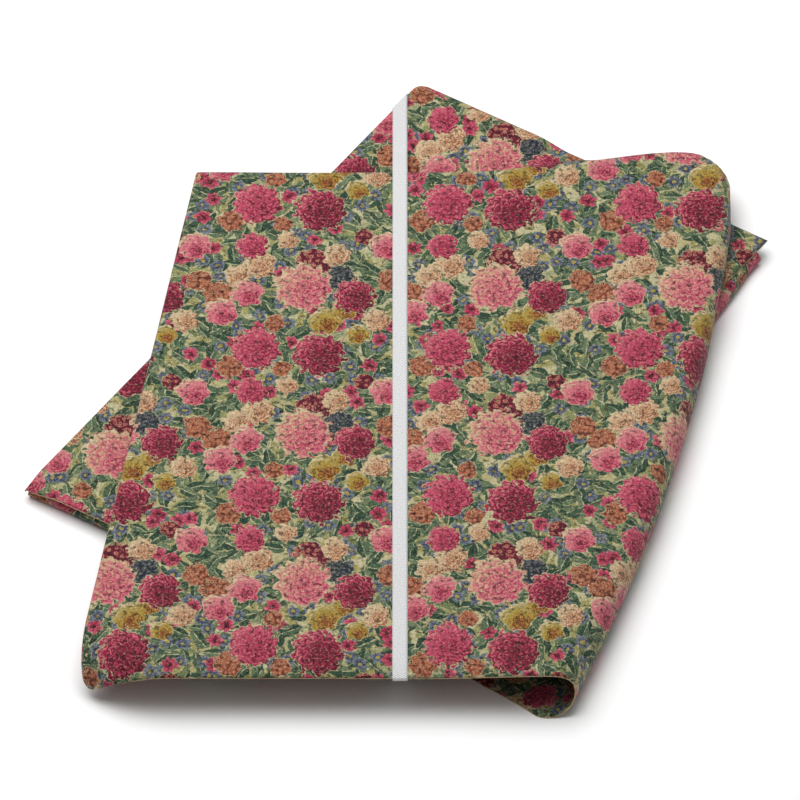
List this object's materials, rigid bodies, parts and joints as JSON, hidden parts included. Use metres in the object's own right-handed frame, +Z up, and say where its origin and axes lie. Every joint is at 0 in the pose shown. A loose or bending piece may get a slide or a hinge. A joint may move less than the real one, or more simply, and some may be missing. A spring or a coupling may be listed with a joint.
{
  "type": "fabric bolt",
  "caption": "Flat bolts of printed cotton wound on boards, stacked crosswise and tied front to back with a woven cotton tape.",
  "frame": {"origin": "middle of the bounding box in plan, on the surface that the bolts lie on", "axes": "+Y to the back along the tape and the upper bolt's folds, +Z up through the stack, +X to the right"},
  "size_m": [0.6368, 0.7828, 0.0386],
  "materials": {
    "floral_cotton": "plain-weave cotton with a dense all-over floral print, matt",
    "cotton_tape": "white twill-woven cotton tape, matt",
    "greyboard": "uncoated grey-brown board with cut edges",
    "sewing_thread": "white spun thread"
  },
  "bodies": {
    "root": {"lower_core_board": "greyboard", "lower_inner_wrap": "floral_cotton", "lower_left_fold": "floral_cotton", "lower_right_fold": "floral_cotton", "lower_top_ply": "floral_cotton", "lower_under_ply": "floral_cotton", "tape_lap_stitches": "sewing_thread", "tie_tape": "cotton_tape", "upper_core_board": "greyboard", "upper_inner_wrap": "floral_cotton", "upper_left_fold": "floral_cotton", "upper_right_fold": "floral_cotton", "upper_top_ply": "floral_cotton", "upper_under_flap": "floral_cotton", "upper_under_ply": "floral_cotton"}
  },
  "joints": []
}
